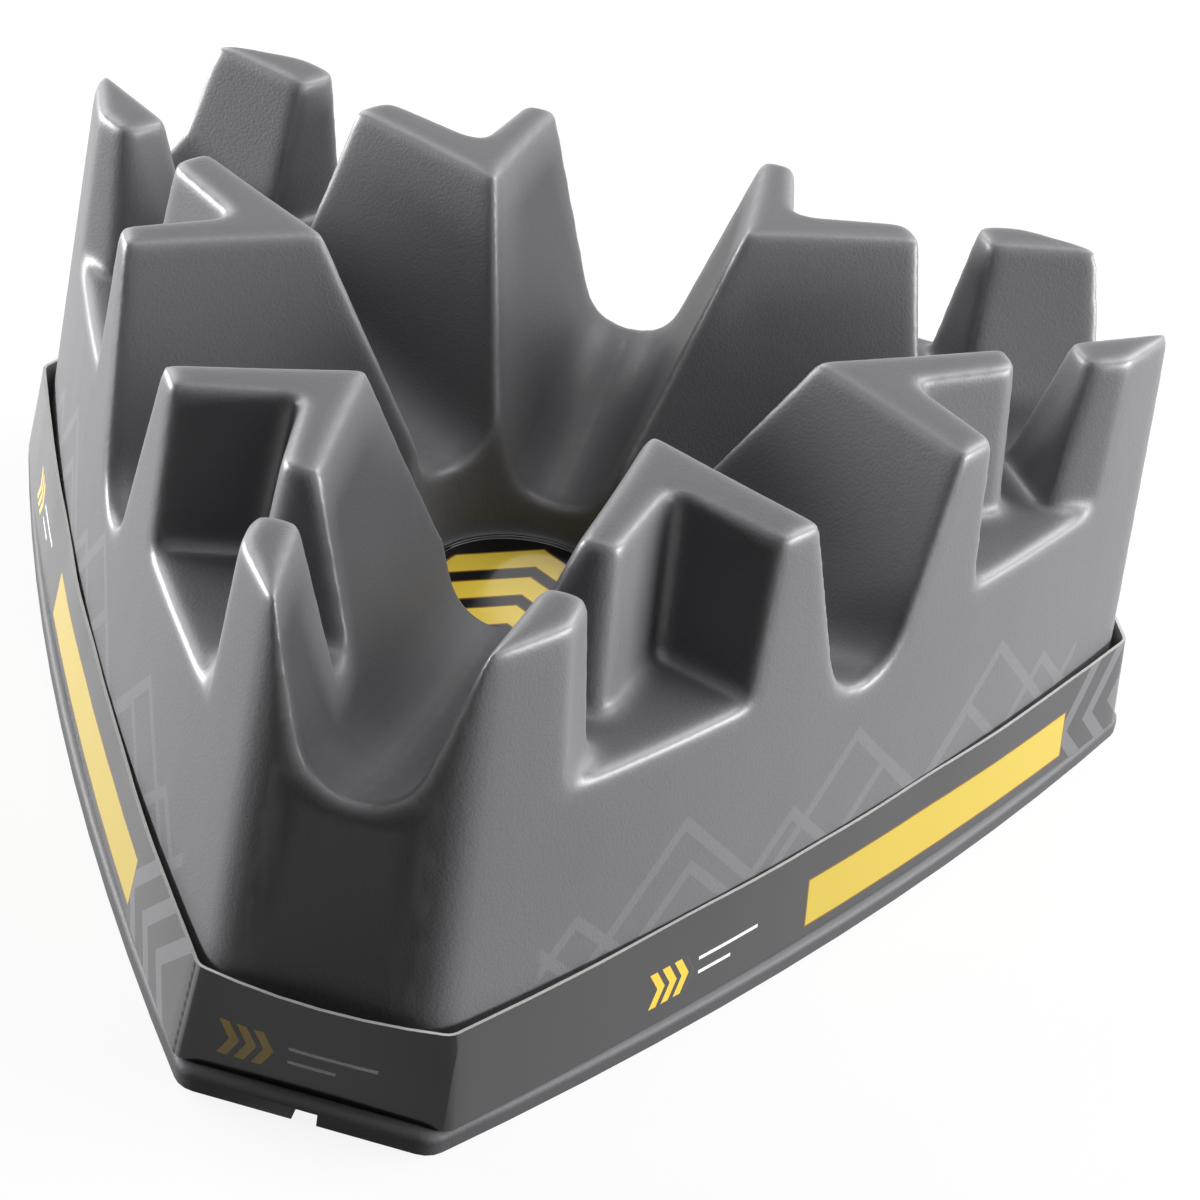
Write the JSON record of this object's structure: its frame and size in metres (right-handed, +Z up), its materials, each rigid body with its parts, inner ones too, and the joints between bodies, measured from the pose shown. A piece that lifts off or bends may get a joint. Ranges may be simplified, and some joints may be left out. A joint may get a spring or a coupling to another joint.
{
  "type": "bike trainer front riser block",
  "caption": "Hollow moulded block with crossing tyre grooves at different heights, which raises the front wheel of a bike on a trainer.",
  "frame": {"origin": "on the floor, under the middle of the block's bounding box", "axes": "+Z up, +X to the right of the near cut-off corner, which points along -Y"},
  "size_m": [0.3126, 0.2798, 0.1206],
  "materials": {
    "pebbled_plastic": "matte, finely pebbled",
    "badge_gloss": "gloss black with yellow chevrons",
    "band_print": "film-coated printed card, black with yellow panels"
  },
  "bodies": {
    "block": {"riser_block": "pebbled_plastic", "centre_badge": "badge_gloss"},
    "band": {"printed_band": "band_print"}
  },
  "joints": [
    {"name": "band_lift", "type": "slide", "parent": "block", "child": "band", "axis": [0, 0, 1], "range_m": [0, 0.12]}
  ]
}
